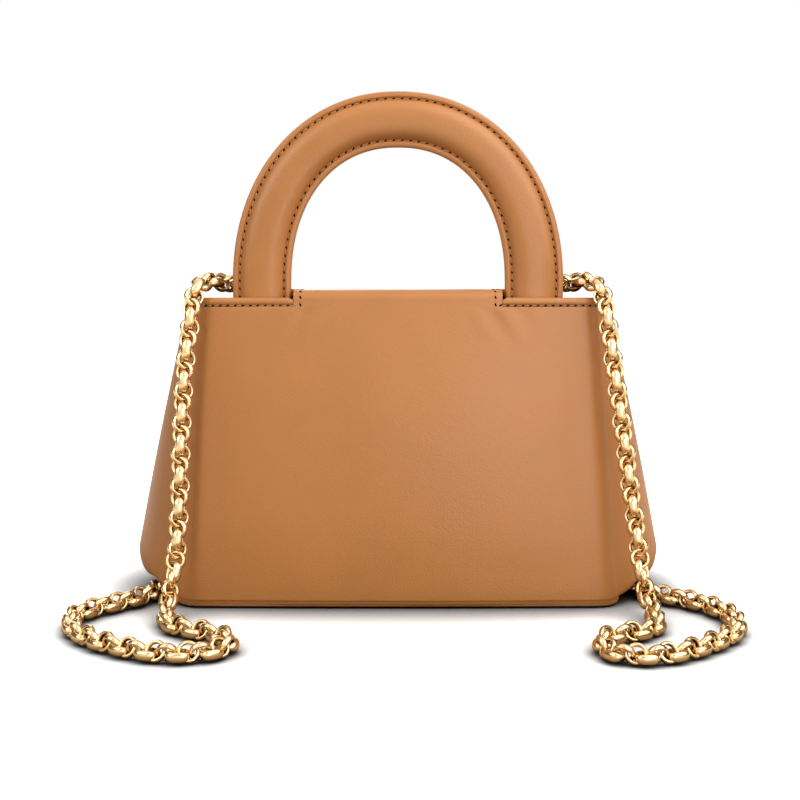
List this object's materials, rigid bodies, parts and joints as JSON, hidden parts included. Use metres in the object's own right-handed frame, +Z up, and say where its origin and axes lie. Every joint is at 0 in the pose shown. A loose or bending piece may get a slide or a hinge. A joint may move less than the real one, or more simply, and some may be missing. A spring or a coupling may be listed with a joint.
{
  "type": "chain handle handbag",
  "caption": "Small structured trapezoid leather handbag with a padded arch handle, a turn-lock flap over its mouth and a long polished link-chain shoulder strap resting in loose loops.",
  "frame": {"origin": "under the middle of the base, on the surface that the bag stands on", "axes": "+X across the bag to the right of someone facing its back panel, +Y towards the flap's front, +Z up"},
  "size_m": [0.3076, 0.2069, 0.2429],
  "materials": {
    "body_leather": "smooth calf leather with a fine grain and a satin sheen",
    "facing_leather": "thin matte leather",
    "lining_cloth": "fine twill",
    "fibre_board": "matte pressed fibre board",
    "handle_foam": "matte dense foam",
    "gold_hardware": "polished pale gold plate",
    "gold_chain": "polished pale gold plate"
  },
  "bodies": {
    "bag": {"back_shell": "body_leather", "front_shell": "body_leather", "base_panel": "body_leather", "base_board": "fibre_board", "back_left_edge": "body_leather", "back_right_edge": "body_leather", "front_edge": "body_leather", "mouth_facing": "facing_leather", "lining": "lining_cloth", "inner_pocket": "lining_cloth", "handle_front_cover": "body_leather", "handle_back_cover": "body_leather", "handle_front_pad": "handle_foam", "handle_back_pad": "handle_foam", "handle_core": "fibre_board", "left_handle_socket": "fibre_board", "right_handle_socket": "fibre_board", "left_handle_rivet_1": "gold_hardware", "left_handle_rivet_2": "gold_hardware", "right_handle_rivet_1": "gold_hardware", "right_handle_rivet_2": "gold_hardware", "lock_housing": "gold_hardware", "lock_washer": "gold_hardware", "left_chain_stud": "gold_hardware", "right_chain_stud": "gold_hardware", "left_chain_ring": "gold_hardware", "right_chain_ring": "gold_hardware", "shoulder_chain": "gold_chain"},
    "flap_top": {"flap_top_outer": "body_leather", "flap_top_facing": "facing_leather"},
    "flap_front": {"flap_front_outer": "body_leather", "flap_front_facing": "facing_leather", "flap_eyelet": "gold_hardware"},
    "lock_knob": {"lock_bar": "gold_hardware", "lock_spindle": "gold_hardware"}
  },
  "joints": [
    {"name": "flap_top_hinge", "type": "hinge", "parent": "bag", "child": "flap_top", "pos_m": [0, -0.0343, 0.148], "axis": [1, 0, 0], "range_deg": [0, 50]},
    {"name": "flap_front_hinge", "type": "hinge", "parent": "flap_top", "child": "flap_front", "pos_m": [0, 0.03704, 0.14723], "axis": [1, 0, 0], "range_deg": [0, 130]},
    {"name": "lock_turn", "type": "hinge", "parent": "bag", "child": "lock_knob", "pos_m": [0, 0.03827, 0.092], "axis": [0, 0.996, 0.0891], "range_deg": [0, 90]}
  ],
  "couplings": [
    {"joint": "flap_front_hinge", "follows": "flap_top_hinge", "ratio": 2.6}
  ]
}
